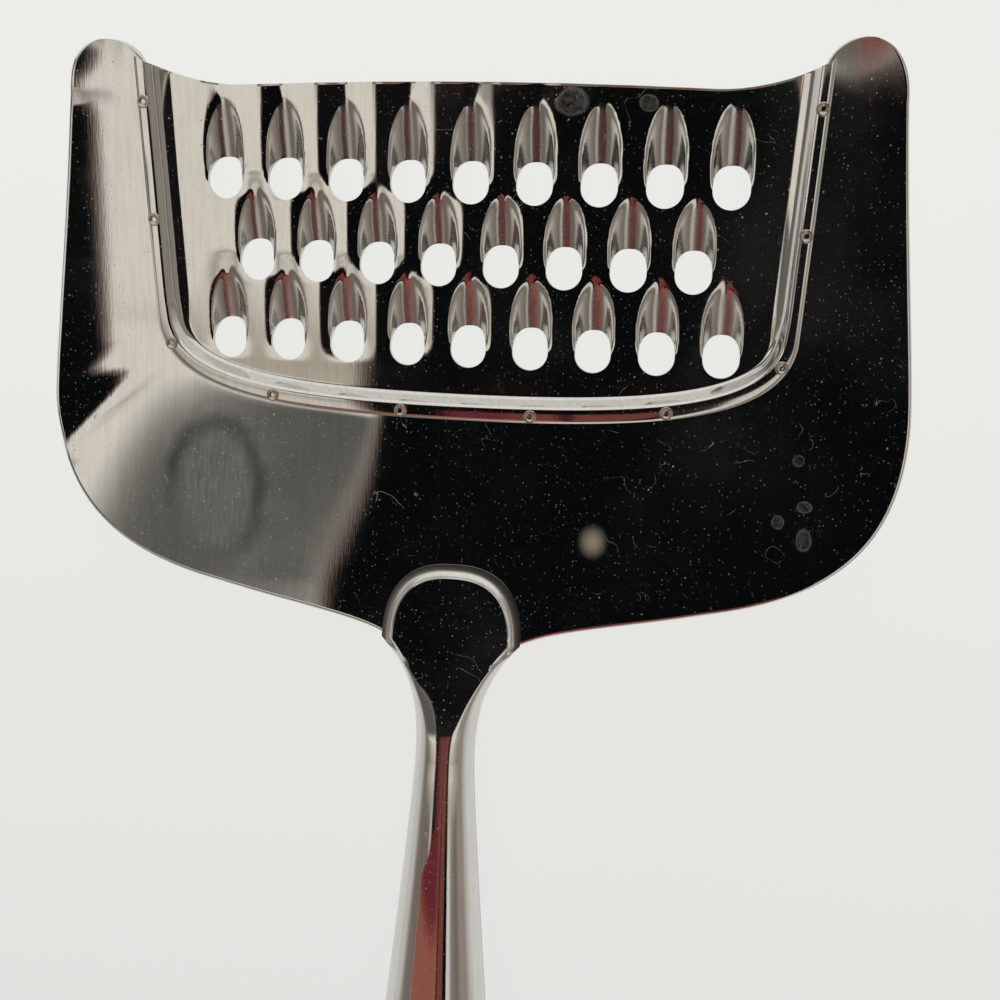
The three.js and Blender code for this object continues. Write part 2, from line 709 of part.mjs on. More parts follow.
// Loft of D-shaped sections, flat towards the seam; side is 1 for the upper shell and -1 for the lower
function shellLoft(stations, side, halfAt, heightAt, floorAt) {
  const skin = new Skin();
  const rings = stations.map((y) => {
    const half = halfAt(y);
    const seam = seamHeight(y);
    const outer = [];
    const inner = [];
    for (let i = 0; i <= SECTION_STEPS; i += 1) {
      const x = -half * Math.cos(Math.PI * i / SECTION_STEPS);
      outer.push(skin.point(x, y, seam + side * heightAt(x, y)));
      inner.push(skin.point(x, y, seam + side * floorAt(y)));
    }
    return side > 0 ? { outer, inner } : { outer: outer.reverse(), inner: inner.reverse() };
  });
  for (let i = 0; i + 1 < rings.length; i += 1) {
    const here = rings[i];
    const next = rings[i + 1];
    skin.band(next.outer, here.outer);
    skin.band(here.inner, next.inner);
    skin.quad(here.outer[0], here.inner[0], next.inner[0], next.outer[0]);
    const e = SECTION_STEPS;
    skin.quad(here.inner[e], here.outer[e], next.outer[e], next.inner[e]);
  }
  const first = rings[0];
  const last = rings[rings.length - 1];
  skin.band(first.outer, first.inner);
  skin.band(last.inner, last.outer);
  return skin.solid();
}

// One half shell of the handle: outer form, hollowed, with pockets for the tongue welds
function handleShell(side) {
  const stations = handleStations();
  const outer = shellLoft(stations, side, handleHalf, shellHeight, seamHalf);
  const hollowHalf = (y) => handleHalf(y) - HANDLE_WALL;
  const hollowHeight = (x, y) => {
    const oval = Math.sqrt(Math.max(0, 1 - (x / hollowHalf(y)) ** 2));
    return seamHalf(y) + (handleCrown(y) - HANDLE_WALL - seamHalf(y)) * oval + SEAT_GAP;
  };
  const hollowFront = tongueY - TONGUE_EDGE;
  const behind = stations.filter((y) => y < hollowFront && hollowHalf(y) > HANDLE_WALL);
  const hollowStations = [hollowFront, ...behind];
  const hollowFloor = (y) => seamHalf(y) - FRAME_SHEET;
  const hollow = shellLoft(hollowStations, side, hollowHalf, hollowHeight, hollowFloor);
  let shell = outer.subtract(hollow);
  for (const weld of [-1, 1]) {
    const length = tongueWeldLength + 2 * WELD_CLEARANCE;
    shell = shell.subtract(tongueWeldBar(weld, TONGUE_WELD_RADIUS + WELD_CLEARANCE, length));
  }
  return geometryFrom(shell);
}

// Polished stainless steel, slightly darker on the thin panel and at the welds
const frameSteel = new THREE.MeshStandardMaterial({ color: 0xc9cacb, metalness: 1, roughness: 0.08 });
const panelSteel = new THREE.MeshStandardMaterial({ color: 0xc2c3c4, metalness: 1, roughness: 0.1 });
const handleSteel = new THREE.MeshStandardMaterial({ color: 0xcccdce, metalness: 1, roughness: 0.08 });
const weldSteel = new THREE.MeshStandardMaterial({ color: 0xa39a90, metalness: 1, roughness: 0.3 });

const level = new THREE.Group();
function place(name, geometry, material) {
  const mesh = new THREE.Mesh(geometry, material);
  mesh.name = name;
  level.add(mesh);
  return mesh;
}

place('frame_plate', framePlate(), frameSteel);
place('grating_panel', gratingPanel(), panelSteel);
flangeWeldPlaces().forEach((at, i) => {
  place(`flange_weld_${String(i + 1).padStart(2, '0')}`, flangeWeld(at), weldSteel);
});
place('handle_upper_shell', handleShell(1), handleSteel);
const lowerShell = place('handle_lower_shell', handleShell(-1), handleSteel);
place('tongue_weld_left', tongueWeld(-1), weldSteel);
place('tongue_weld_right', tongueWeld(1), weldSteel);

// Slope of the table under the level panel: from the rear teeth to the lowest line of the handle
function tableSlope() {
  const toothY = -ROW_PITCH + LIP_REACH;
  const toothZ = -LIP_DEPTH - PANEL_SHEET;
  const shell = lowerShell.geometry.attributes.position;
  let slope = Infinity;
  for (let i = 0; i < shell.count; i += 1) {
    const run = toothY - shell.getY(i);
    slope = Math.min(slope, (shell.getZ(i) - toothZ) / run);
  }
  return slope;
}

level.rotation.x = Math.atan(tableSlope());
level.updateMatrixWorld(true);
const box = new THREE.Box3().setFromObject(level, true);

// Origin on the table, under the middle of the grater
const grater = new THREE.Group();
grater.add(level);
level.position.set(0, -(box.min.y + box.max.y) / 2, -box.min.z);

export default grater;
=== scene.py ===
import math

import bpy
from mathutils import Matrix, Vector, kdtree


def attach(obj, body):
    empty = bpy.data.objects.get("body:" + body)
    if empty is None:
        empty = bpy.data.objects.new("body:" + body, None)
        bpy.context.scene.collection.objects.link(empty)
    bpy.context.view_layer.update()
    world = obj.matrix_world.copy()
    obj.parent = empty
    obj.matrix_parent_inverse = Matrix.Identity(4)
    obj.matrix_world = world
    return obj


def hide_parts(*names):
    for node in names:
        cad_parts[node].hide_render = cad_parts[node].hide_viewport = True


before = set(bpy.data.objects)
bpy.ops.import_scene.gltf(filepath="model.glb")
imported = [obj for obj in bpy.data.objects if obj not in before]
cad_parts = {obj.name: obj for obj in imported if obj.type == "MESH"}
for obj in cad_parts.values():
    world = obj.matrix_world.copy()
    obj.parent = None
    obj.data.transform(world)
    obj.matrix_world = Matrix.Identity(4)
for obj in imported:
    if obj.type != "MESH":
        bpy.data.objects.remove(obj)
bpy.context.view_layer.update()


# Frame plate: one stainless sheet about 1 mm thick, dished round a U-shaped window, with two wings that
# end in round lobes and a rear apron that runs on as a tang into the handle. It is sheared, pressed,
# rounded at its edges and mirror polished. Drawn in millimetres with the panel level, then tipped.
FLOOR_REAR = -14.15
FLOOR_FRONT = 19.7
FLOOR_MOUTH_HALF = 35.0
FLOOR_REAR_HALF = 33.45
REAR_REACH = 18.0
CORNER_Y = -6.45
CORNER_LEAN = 0.39
CORNER_REACH = 6.7
MOUTH_HALF = 37.6
MOUTH_BOW = 1.1
MOUTH_TURN = 12.4
MOUTH_TURN_RISE = 3.4
WINDOW_EDGE = 1.6
LAND_EDGE = 2.4
LAND_TOP = 0.95
APRON_LEAN = 0.165
APRON_RADIUS = 345.0
WING_LEAN = 0.087
WING_TWIST = 0.0010
TWIST_REAR_Y = -8.0
TWIST_FRONT_Y = 18.0
WING_RADIUS = 55.0
WING_SLOPE = 0.34
DISH_SLOPE = 0.235
FOLD_SOFTNESS = 0.3
CORNER_RIPPLE = 0.0068
RIPPLE_START = 14.0
RIPPLE_FADE_IN = 14.0
RIPPLE_PEAK = 28.0
RIPPLE_TROUGH = 38.5
RIPPLE_END = 47.0
RIPPLE_FADE_OUT = 9.0
LOBE_EASE = 0.09
LOBE_EASE_Y = 18.8
LOBE_EASE_RUN = 1.6
SAG_X = -13.0
SAG_WIDTH = 8.0
SAG_TWIST = 0.0022
SAG_LEVEL_Y = -31.7
SAG_END_Y = -36.0
CURL_LEAD = 4.5
CURL_RUN = 7.0
CURL_RISE = 0.1
PLATE_SHEET = 1.0
PLATE_EDGE_ROUND = 0.42
PLATE_EDGE_ANGLE = 55
LOBE_TIP_EASE = 4.2
LOBE_TIP_ROUND = 0.005
EDGE_BAND = 0.5
APRON_END = -41.35
TONGUE_RADIUS = 8.0
TANG_HALF = 2.2
TANG_LENGTH = 13.0
PLATE_ROWS = 46
RUN_COLUMNS = (30, 34, 34, 26)
LINE_STEPS = 900
LINE_RUN_ON = 226
WINDOW_TURNS = (0.45, 0.93)
WING_ROOT = 0.86
FLARE_POINTS = ((7.88, APRON_END), (11, -39.55), (20, -38.45), (28, -36.55))
CORNER_POINTS = ((28, -36.55), (41.3, -33.9), (48.2, -28.2), (48, -14.5))
WING_BOW = ((47.8, -8), (46.1, 3))
LOBE_STEPS = 80
LOBE_TIP = LOBE_STEPS // 2
LOBE_LIFT = (1.5, 4.1)
LOBE_SIDE = 44.95
LOBE_REACH = 4.0
LOBE_DROP = 3.6
LEFT_LOBE = 0.83
PLATE_TINT = (0.78, 0.77, 0.75)
STREAK_SHADE = (0.62, 0.61, 0.59)
DUST_COLOUR = (0.62, 0.61, 0.58, 1)
SCOOP_PAINTED_SHADE_COLOUR = (0.44, 0.42, 0.39, 1)
DENT_RING_PAINTED_REFLECTION = (0.20, 0.20, 0.19, 1)
STAIN_COLOUR = (0.88, 0.60, 0.24, 1)
RIM_EDGE_PAINTED_SHADE = (0.15, 0.15, 0.125, 1)
PAINTED_DENT_REFLECTION_PLACE = (-29.1, -26.2, 5.3, 8.3)
STAIN_PLACE = (15.1, -29.4, 1.9, 2.2)
PLATE_DROPS = (
    (36.9, -19.2, 0.65, 0.65),
    (37.8, -24.1, 0.85, 0.65),
    (35.15, -25.9, 0.7, 0.8),
    (37.9, -27.6, 0.85, 1.3),
)


def bezier(a, b, c, d, t):
    s = 1 - t
    return s ** 3 * a + 3 * s * s * t * b + 3 * s * t * t * c + t ** 3 * d


def clamp01(t):
    return min(1.0, max(0.0, t))


def smooth(t):
    return clamp01(t) ** 2 * (3 - 2 * clamp01(t))


def rear_curve(t):
    return bezier(
        Vector((0, FLOOR_REAR)),
        Vector((REAR_REACH, FLOOR_REAR)),
        Vector((FLOOR_REAR_HALF - CORNER_LEAN, CORNER_Y - CORNER_REACH)),
        Vector((FLOOR_REAR_HALF, CORNER_Y)),
        t,
    )


def free_edge(x):
    past = clamp01((abs(x) - MOUTH_HALF + MOUTH_TURN) / MOUTH_TURN)
    return FLOOR_FRONT - MOUTH_BOW * (x / MOUTH_HALF) ** 2 + MOUTH_TURN_RISE * past ** 2


def floor_line(t, f, d):
    """Right half of the panel floor's outline, d outside it: t along the rear curve, then f up the side."""
    step = 0.001
    along = (rear_curve(t + step) - rear_curve(t - step)).normalized()
    start = rear_curve(t) + d * Vector((along.y, -along.x))
    mouth = Vector((FLOOR_MOUTH_HALF + d, free_edge(FLOOR_MOUTH_HALF + d)))
    return start.lerp(mouth, f)


def spread(points, count):
    """Count + 1 points evenly along a line of points."""
    lengths = [0.0]
    for a, b in zip(points, points[1:]):
        lengths.append(lengths[-1] + (b - a).length)
    evenly = []
    k = 0
    for i in range(count + 1):
        target = lengths[-1] * i / count
        while k < len(points) - 2 and lengths[k + 1] < target:
            k += 1
        share = (target - lengths[k]) / (lengths[k + 1] - lengths[k])
        evenly.append(points[k].lerp(points[k + 1], share))
    return evenly


rear_and_side = [floor_line(i / LINE_STEPS, 0, 0) for i in range(LINE_STEPS)]
rear_and_side += [floor_line(1, i / LINE_STEPS, 0) for i in range(LINE_STEPS + LINE_RUN_ON)]
dish_line = kdtree.KDTree(len(rear_and_side))
for number, spot in enumerate(rear_and_side):
    dish_line.insert((spot.x, spot.y, 0), number)
dish_line.balance()


def dish_rise(s, lean=APRON_LEAN, radius=APRON_RADIUS, steepest=DISH_SLOPE):
    """Rise of the dish s outside its land: folded up to a lean, then curving to its steepest slope."""
    past = (s + math.hypot(s, FOLD_SOFTNESS)) / 2
    run = (steepest - lean) * radius
    bent = min(past, run)
    return lean * bent + bent * bent / (2 * radius) + steepest * (past - bent)


def plate_top(x, y):
    """Height of the upper face: the dish with its ripple, eased lobe, sag and curled free end."""
    nearest, _, distance = dish_line.find((abs(x), y, 0))
    run = distance - LAND_EDGE
    turn = math.degrees(math.atan2(nearest.y - y, max(0.01, abs(x) - nearest.x)))
    sideways = smooth(math.cos(math.radians(turn)))
    wing_lean = WING_LEAN + WING_TWIST * min(TWIST_FRONT_Y, max(TWIST_REAR_Y, y))
    lean = APRON_LEAN + (wing_lean - APRON_LEAN) * sideways
    if x < 0:
        ripple = math.cos(math.pi * (turn - RIPPLE_PEAK) / (RIPPLE_TROUGH - RIPPLE_PEAK))
        ripple *= smooth((turn - RIPPLE_START) / RIPPLE_FADE_IN)
        ripple *= smooth((RIPPLE_END - turn) / RIPPLE_FADE_OUT)
        lean += CORNER_RIPPLE * ripple
    radius = APRON_RADIUS + (WING_RADIUS - APRON_RADIUS) * sideways
    steepest = DISH_SLOPE + (WING_SLOPE - DISH_SLOPE) * sideways
    rise = dish_rise(run, lean, radius, max(lean, steepest))
    if x < 0:
        rise *= 1 - LOBE_EASE * math.exp(-((y - LOBE_EASE_Y) / LOBE_EASE_RUN) ** 2) * sideways
    curl = clamp01((y - free_edge(MOUTH_HALF) + CURL_LEAD) / CURL_RUN) ** 2
    beside = x - SAG_X
    sag = SAG_TWIST * (max(y, SAG_END_Y) - SAG_LEVEL_Y) * beside * math.exp(-(beside / SAG_WIDTH) ** 2)
    rise += sag * (1 - sideways)
    return LAND_TOP + rise + CURL_RISE * curl * smooth(run / CURL_RUN)


def curve(points, steps):
    """Steps + 1 points along the Bezier curve of four points."""
    corners = [Vector(point) for point in points]
    return [bezier(*corners, i / steps) for i in range(steps + 1)]


def window_run(start, end, steps):
    """Points along the window's rear edge, between two shares of the rear curve."""
    return [floor_line(start + (end - start) * i / steps, 0, WINDOW_EDGE) for i in range(steps + 1)]


def chain(runs):
    """One line through all the runs, each with its own count of even columns."""
    points = [runs[0][0]]
    for run, count in zip(runs, RUN_COLUMNS):
        points += spread(run, count)[1:]
    return points


foot = floor_line(1, 1, WINDOW_EDGE)
wing_root = floor_line(1, WING_ROOT, WINDOW_EDGE)
lobe_points = (
    foot,
    foot + Vector(LOBE_LIFT),
    (LOBE_SIDE, foot.y + LOBE_REACH),
    (LOBE_SIDE, foot.y - LOBE_DROP),
)
lobe = curve(lobe_points, LOBE_STEPS)
flare = curve(FLARE_POINTS, 30)
corner = curve(CORNER_POINTS, 40)
wing_side = curve((corner[-1], *WING_BOW, lobe[-1]), 30)
outer_half = chain([
    [Vector((0, APRON_END))] + flare,
    corner,
    wing_side,
    lobe[:LOBE_TIP + 1:-1],
])
inner_half = chain([
    window_run(0, WINDOW_TURNS[0], 40),
    window_run(*WINDOW_TURNS, 40),
    window_run(WINDOW_TURNS[1], 1, 10) + [wing_root],
    [wing_root] + lobe[:LOBE_TIP],
])


def left_of(p):
    """The same place on the left half, where the lobe is a little shorter."""
    return Vector((-p.x, min(p.y, foot.y) + LEFT_LOBE * max(0.0, p.y - foot.y)))


outer_line = [left_of(p) for p in outer_half[:0:-1]] + outer_half
inner_line = [left_of(p) for p in inner_half[:0:-1]] + inner_half


def plate_form(u, v):
    i = round(u * (len(outer_line) - 1))
    j = round(v * PLATE_ROWS)
    width = (inner_line[i] - outer_line[i]).length
    band = min(EDGE_BAND, width / 4)
    run = band + (width - 2 * band) * (j - 1) / (PLATE_ROWS - 2)
    if j == 0:
        run = 0.0
    if j == PLATE_ROWS:
        run = width
    p = outer_line[i].lerp(inner_line[i], run / width)
    return p.x, p.y, plate_top(p.x, p.y)


def press_sheet(name, columns, rows, form):
    """A flat grid of metal, named and pressed to the form that gives each of its points."""
    bpy.ops.object.select_all(action="DESELECT")
    bpy.ops.mesh.primitive_grid_add(x_subdivisions=columns, y_subdivisions=rows, size=2)
    sheet = bpy.context.object
    sheet.name = name
    sheet.data.name = name
    for vertex in sheet.data.vertices:
        vertex.co = form((vertex.co.x + 1) / 2, (vertex.co.y + 1) / 2)
    return sheet


def apply_modifier(piece, kind, **settings):
    modifier = piece.modifiers.new(kind.title(), kind)
    for name, value in settings.items():
        setattr(modifier, name, value)
    bpy.context.view_layer.objects.active = piece
    bpy.ops.object.modifier_apply(modifier=modifier.name)


def pick_only(piece):
    bpy.ops.object.select_all(action="DESELECT")
    piece.select_set(True)
    bpy.context.view_layer.objects.active = piece


def thicken(sheet, height):
    """Extrudes a sheet straight up or down into a closed solid."""
    pick_only(sheet)
    bpy.ops.object.mode_set(mode="EDIT")
    bpy.ops.mesh.select_all(action="SELECT")
    bpy.ops.mesh.extrude_region_move(TRANSFORM_OT_translate={"value": (0, 0, height)})
    bpy.ops.mesh.select_all(action="SELECT")
    bpy.ops.mesh.normals_make_consistent(inside=False)
    bpy.ops.object.mode_set(mode="OBJECT")


MILLIMETRE = (0.001, 0.001, 0.001)
TIP_ANGLE = math.radians(6.278441785921441)
TIP_PLACE = (0, 0.07420562086817726, 0.0028812428120936833)


def lay_on_table(piece, smooth_angle):
    """From level millimetres to the piece's place on the table, in metres."""
    pick_only(piece)
    piece.scale = MILLIMETRE
    piece.rotation_euler = (TIP_ANGLE, 0, 0)
    piece.location = TIP_PLACE
    bpy.ops.object.transform_apply(location=True, rotation=True, scale=True)
    bpy.ops.object.shade_smooth_by_angle(angle=math.radians(smooth_angle))


class Tone:
    """A shader socket, whose arithmetic adds Math nodes to its tree."""

    def __init__(self, tree, socket=None):
        self.tree = tree
        self.socket = socket

    def node(self, kind, sockets=None, output=0, stops=(), **settings):
        made = self.tree.nodes.new(kind)
        for name, value in settings.items():
            setattr(made, name, value)
        for place, _ in stops[2:]:
            made.color_ramp.elements.new(place)
        for element, (place, colour) in zip(made.color_ramp.elements if stops else (), stops):
            element.position = place
            element.color = colour
        for name, value in (sockets or {}).items():
            if isinstance(value, Tone):
                self.tree.links.new(value.socket, made.inputs[name])
            else:
                made.inputs[name].default_value = value
        return Tone(self.tree, made.outputs[output])

    def math(self, operation, a, b=0.0):
        return self.node("ShaderNodeMath", {0: a, 1: b}, operation=operation)

    def __add__(self, other):
        return self.math("ADD", self, other)

    def __sub__(self, other):
        return self.math("SUBTRACT", self, other)

    def __rsub__(self, other):
        return self.math("SUBTRACT", other, self)

    def __mul__(self, other):
        return self.math("MULTIPLY", self, other)

    def __truediv__(self, other):
        return self.math("DIVIDE", self, other)

    def __pow__(self, other):
        return self.math("POWER", self, other)

    def __abs__(self):
        return self.math("ABSOLUTE", self)

    __radd__ = __add__
    __rmul__ = __mul__

    def at_least(self, other):
        return self.math("MAXIMUM", self, other)

    def at_most(self, other):
        return self.math("MINIMUM", self, other)

    def axis(self, number):
        return self.node("ShaderNodeSeparateXYZ", {"Vector": self}, output=number)

    def level(self):
        """A place on the table in metres, back in level millimetres."""
        turn = (TIP_ANGLE, 0, 0)
        sockets = {"Vector": self, "Location": TIP_PLACE, "Rotation": turn, "Scale": MILLIMETRE}
        return self.node("ShaderNodeMapping", sockets, vector_type="TEXTURE")

    def mix(self, factor, low, high):
        return self.node("ShaderNodeMix", {0: factor, 6: low, 7: high}, output=2, data_type="RGBA")

    def step(self, start, end):
        return self.node("ShaderNodeMapRange", {0: self, 1: start, 2: end, 3: 0.0, 4: 1.0},
                         interpolation_type="SMOOTHSTEP")


def polished_steel(name, tint, shine, grain, dust, hollow=0.0, drops=(), dent_reflection=None, stain=None, satin_and_rim_shade=None):
    """Mirror-polished stainless steel with polishing lines along Y, haze, hairlines, dust and dried drops;
    it can also carry painted shade in the scoop hollows, a painted reflection of a dent and painted shade
    along the tongue rim's outer edge.

    Its spots are ovals in level millimetres: x and y of the middle, half the width and half the length.
    """
    material = bpy.data.materials.new(name)
    material.use_nodes = True
    tree = material.node_tree
    shader = tree.nodes["Principled BSDF"]
    start = Tone(tree)
    place = start.node("ShaderNodeTexCoord", output="Object")
    level = place.level()

    def oval(spot, power=2):
        """How far out a place is from an oval spot's middle, 1 at its edge."""
        across = abs((level.axis(0) - spot[0]) * (1 / spot[2]))
        along = abs((level.axis(1) - spot[1]) * (1 / spot[3]))
        return (across ** power + along ** power) ** (1 / power)

    def noise(scale, detail, vector=place, **others):
        sockets = {"Vector": vector, "Scale": scale, "Detail": detail, **others}
        return start.node("ShaderNodeTexNoise", sockets)

    def lines(across, along, detail):
        """Noise drawn out along Y."""
        vector = start.node("ShaderNodeMapping", {"Vector": place, "Scale": (across, along, across)})
        return noise(1.0, detail, vector)

    def dots(scale, soft, rarity):
        cell = {"Vector": place, "Scale": scale}
        chance = start.node("ShaderNodeTexVoronoi", cell, output="Color")
        pick = start.node("ShaderNodeSeparateColor", {"Color": chance})
        apart = start.node("ShaderNodeTexVoronoi", cell, output="Distance")
        return (1 - apart.step(soft * 0.3, soft)) * pick.step(rarity, 1.0)

    polish = lines(5200, 160, 3.0)
    streak = lines(2200, 30, 4.0).step(0.38, 0.72)
    haze = noise(55.0, 5.0, Roughness=0.62)
    contour = abs(noise(170.0, 1.0, Distortion=1.6) - 0.5)
    hairline = (1 - contour.step(0.0005, 0.003)) * noise(300.0, 2.0).step(0.58, 0.68)
    speck = dots(850.0, 0.13, 0.45) * noise(70.0, 2.0).step(0.36, 0.62) * 0.65
    grit = dots(2300.0, 0.26, 0.3) * 0.3
    smoke = noise(42.0, 6.0).step(0.48, 0.8) * 0.03
    marks = speck + grit + smoke + hairline * 0.4
    for spot in drops:
        outward = oval(spot) + noise(600.0, 2.0) * 0.5 - 0.25
        ring = (1 - abs(outward - 0.9).step(0.0, 0.2)) * 0.10
        film = (1 - outward.step(0.8, 0.95)) * noise(1500.0, 2.0).step(0.2, 0.7) * 0.09
        marks = marks + ring + film
    dust_and_sheen = (marks * dust).at_most(1.0)
    shade = [part * share for part, share in zip(tint, STREAK_SHADE)]
    colour = start.mix(streak * grain * 0.22, (*tint, 1), (*shade, 1))
    colour = start.mix(dust_and_sheen, colour, DUST_COLOUR)
    # Painted shade: where the panel sinks into its scoops the colour is darkened, and the steel is made
    # rougher.
    sunk = 1 - level.axis(2).step(-0.6, -0.2)
    colour = start.mix(sunk * hollow * 2.2, colour, SCOOP_PAINTED_SHADE_COLOUR)
    matt = haze.step(0.4, 0.75) * 0.06 + dust_and_sheen * 0.5 + sunk * hollow + shine
    # Painted reflection of a dent that the plate's shape does not have: a dark broken ring, and inside it a
    # duller, paler patch of painted sheen.
    if dent_reflection:
        edge = oval(dent_reflection) + noise(110.0, 2.0) * 0.7 - 1.35
        ring = (1 - abs(edge).step(0.0, 0.3)) * noise(75.0, 1.0).step(0.38, 0.6)
        colour = start.mix(ring * 0.65, colour, DENT_RING_PAINTED_REFLECTION)
        dust_and_sheen = dust_and_sheen + (1 - edge.step(-0.4, 0.05)) * polish.step(0.3, 0.7) * 0.14
    if stain:
        tarnish = (1 - oval(stain).step(0.0, 1.0)) * 0.6
        colour = start.mix(tarnish, colour, STAIN_COLOUR)
        dust_and_sheen = dust_and_sheen.at_least(tarnish)
    if satin_and_rim_shade:
        *spot, power = satin_and_rim_shade
        outward = oval(spot, power)
        tongue = level.axis(1).step(spot[1] - 4, spot[1])
        matt = matt + outward.step(0.82, 0.88) * tongue * 0.24
        # Painted shade: the tongue's rim is darkened towards its outer edge; the satin roughness above is
        # the steel's own finish.
        colour = start.mix(outward.step(0.89, 1.0) * tongue * 0.8, colour, RIM_EDGE_PAINTED_SHADE)
    tree.links.new(colour.socket, shader.inputs["Base Color"])
    tree.links.new((1 - dust_and_sheen).socket, shader.inputs["Metallic"])
    tree.links.new(matt.socket, shader.inputs["Roughness"])
    relief = {"Height": polish * grain + haze * 0.05, "Strength": 0.008, "Distance": 0.0002}
    bump = start.node("ShaderNodeBump", relief)
    tree.links.new(bump.socket, shader.inputs["Normal"])
    return material


plate = press_sheet("frame_plate_dished", len(outer_line) - 1, PLATE_ROWS, plate_form)
bpy.ops.object.mode_set(mode="EDIT")
bpy.ops.mesh.select_all(action="DESELECT")
bpy.ops.object.mode_set(mode="OBJECT")
for vertex in plate.data.vertices:
    vertex.select = abs(vertex.co.y - APRON_END) < 0.01 and abs(vertex.co.x) < TANG_HALF
bpy.ops.object.mode_set(mode="EDIT")
bpy.ops.mesh.extrude_region_move(
    TRANSFORM_OT_translate={"value": (0, -TANG_LENGTH, TANG_LENGTH * DISH_SLOPE)})
bpy.ops.object.mode_set(mode="OBJECT")
thicken(plate, -PLATE_SHEET)

# The rim is rounded less towards the tips of the lobes, where the mesh runs together.
facing = {}
for face in plate.data.polygons:
    for pair in face.edge_keys:
        facing.setdefault(pair, []).append(face.normal.copy())
rounding = plate.data.attributes.new("bevel_weight_edge", "FLOAT", "EDGE")
for edge in plate.data.edges:
    upper, lower = facing[edge.key]
    spot = plate.data.vertices[edge.vertices[0]].co.xy
    tip = lobe[LOBE_TIP] if spot.x > 0 else left_of(lobe[LOBE_TIP])
    if upper.angle(lower) > math.radians(PLATE_EDGE_ANGLE):
        ease = clamp01((spot - tip).length / LOBE_TIP_EASE) ** 1.5
        rounding.data[edge.index].value = max(LOBE_TIP_ROUND, ease)
apply_modifier(plate, "BEVEL", width=PLATE_EDGE_ROUND, segments=5, limit_method="WEIGHT",
               harden_normals=True, use_clamp_overlap=False)
lay_on_table(plate, 40)
plate_steel = polished_steel("mirror_plate_steel", PLATE_TINT, shine=0.035, grain=1.0, dust=1.0,
                             drops=PLATE_DROPS, dent_reflection=PAINTED_DENT_REFLECTION_PLACE, stain=STAIN_PLACE)
plate.data.materials.append(plate_steel)
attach(plate, "root")
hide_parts("frame_plate")


# Grating panel: stainless sheet half a millimetre thick, with three staggered rows of punched scoop teeth,
# folded up round three sides into a narrow flange that lies on the frame. Each scoop is pressed down to
# the lip of its round hole, so the sheet between the scoops stays slightly wavy.
TOP_LENGTH = 8.7
LOW_LENGTH = 7.8
TOOTH_ROWS = ((1, 9, TOP_LENGTH), (0, 8, LOW_LENGTH), (-1, 9, LOW_LENGTH))
COLUMN_PITCH = 7.0
ROW_PITCH = 8.95
HOLE_RADIUS = 2.0
LIP_REACH = 2.6
LIP_DEPTH = 1.4
SCOOP_HALF = 1.94
SCOOP_WIDEST = 1.8
SCOOP_CLOSING = 0.06
SCOOP_ROUND = 2.9
SCOOP_BLUNT = 3.1
SCOOP_SOFT = 0.1
APEX_SOFT = 0.2
APEX_HALF = 0.75
LIP_SQUARE = 0.8
WAVE_DEPTH = 0.11
PUNCH_BOTTOM = -5.0
PUNCH_HEIGHT = 7.0
PANEL_SHEET = 0.5
PANEL_EDGE_ROUND = 0.2
PANEL_STEP = 1.5
WALL_RUN = 1.35
REAR_RUN = 0.9
FLANGE_EDGE = 2.6
FLANGE_ROUND = 0.5
FLANGE_DROOP = 0.2
UPPER_BEND = 0.33
LOWER_BEND = 1.25
REAR_BEND = 0.35
MOUTH_BEND = 1.4
SIDE_START = -11.0
SIDE_RUN = 8.0
MOUTH_START = 8.0
MOUTH_RUN = 12.0
BEND_STEPS = 7
FLOOR_COLUMNS = 258
FLOOR_ROWS = 130
CORNER_TURN = 0.835
CORNER_LINES = 24
SIDE_LINES = FLOOR_ROWS - CORNER_LINES
PANEL_TINT = (0.77, 0.76, 0.73)
PANEL_DROPS = ((10.75, 17.8, 1.75, 1.5), (18.9, 17.75, 1.05, 0.95))

teeth = []
for row, count, length in TOOTH_ROWS:
    for i in range(count):
        teeth.append((Vector(((i - (count - 1) / 2) * COLUMN_PITCH, row * ROW_PITCH)), length))


def scoop_half(y, length):
    if y < SCOOP_WIDEST:
        return max(0.5, SCOOP_HALF - SCOOP_CLOSING * ((SCOOP_WIDEST - y) / SCOOP_WIDEST) ** 2)
    return SCOOP_HALF * (1 - min(1.0, (y - SCOOP_WIDEST) / (length - SCOOP_WIDEST)) ** SCOOP_BLUNT)


def scoop_drop(x, y, length):
    """Depth of one scoop at x, y from its hole's centre, with its edge rolled over softly."""
    left = (length - y) / (length - LIP_REACH)
    middle = LIP_DEPTH * (min(left, 1.0) ** 0.9 if left > 0 else left)
    sharp = math.hypot(APEX_HALF, scoop_half(y, length))
    depth = middle - max(0.25, abs(middle)) * abs(x / sharp) ** SCOOP_ROUND
    soft = SCOOP_SOFT + (APEX_SOFT - SCOOP_SOFT) * smooth(1.1 * y / length - 0.1)
    return (depth + math.hypot(depth, soft)) / 2


def floor_height(x, y):
    """Height of the panel's floor: the scoops, and the slight waves that they leave in the sheet."""
    reach = COLUMN_PITCH / 2
    height = 0.0
    for centre, length in teeth:
        across = x - centre.x
        along = y - centre.y
        if abs(across) > reach or along < -4 or along > 13:
            continue
        if along < length + 2:
            sides = smooth((reach - abs(across)) / 0.5)
            height -= scoop_drop(across, along, length) * sides * smooth((along + 0.4) / 2.6)
        fade = 1.0 if length == TOP_LENGTH else smooth((length + 3 - along) / 5)
        wave = WAVE_DEPTH * (1 + math.cos(math.pi * across / reach))
        height -= wave * smooth((along + 2.2) / 3) * fade
    return height


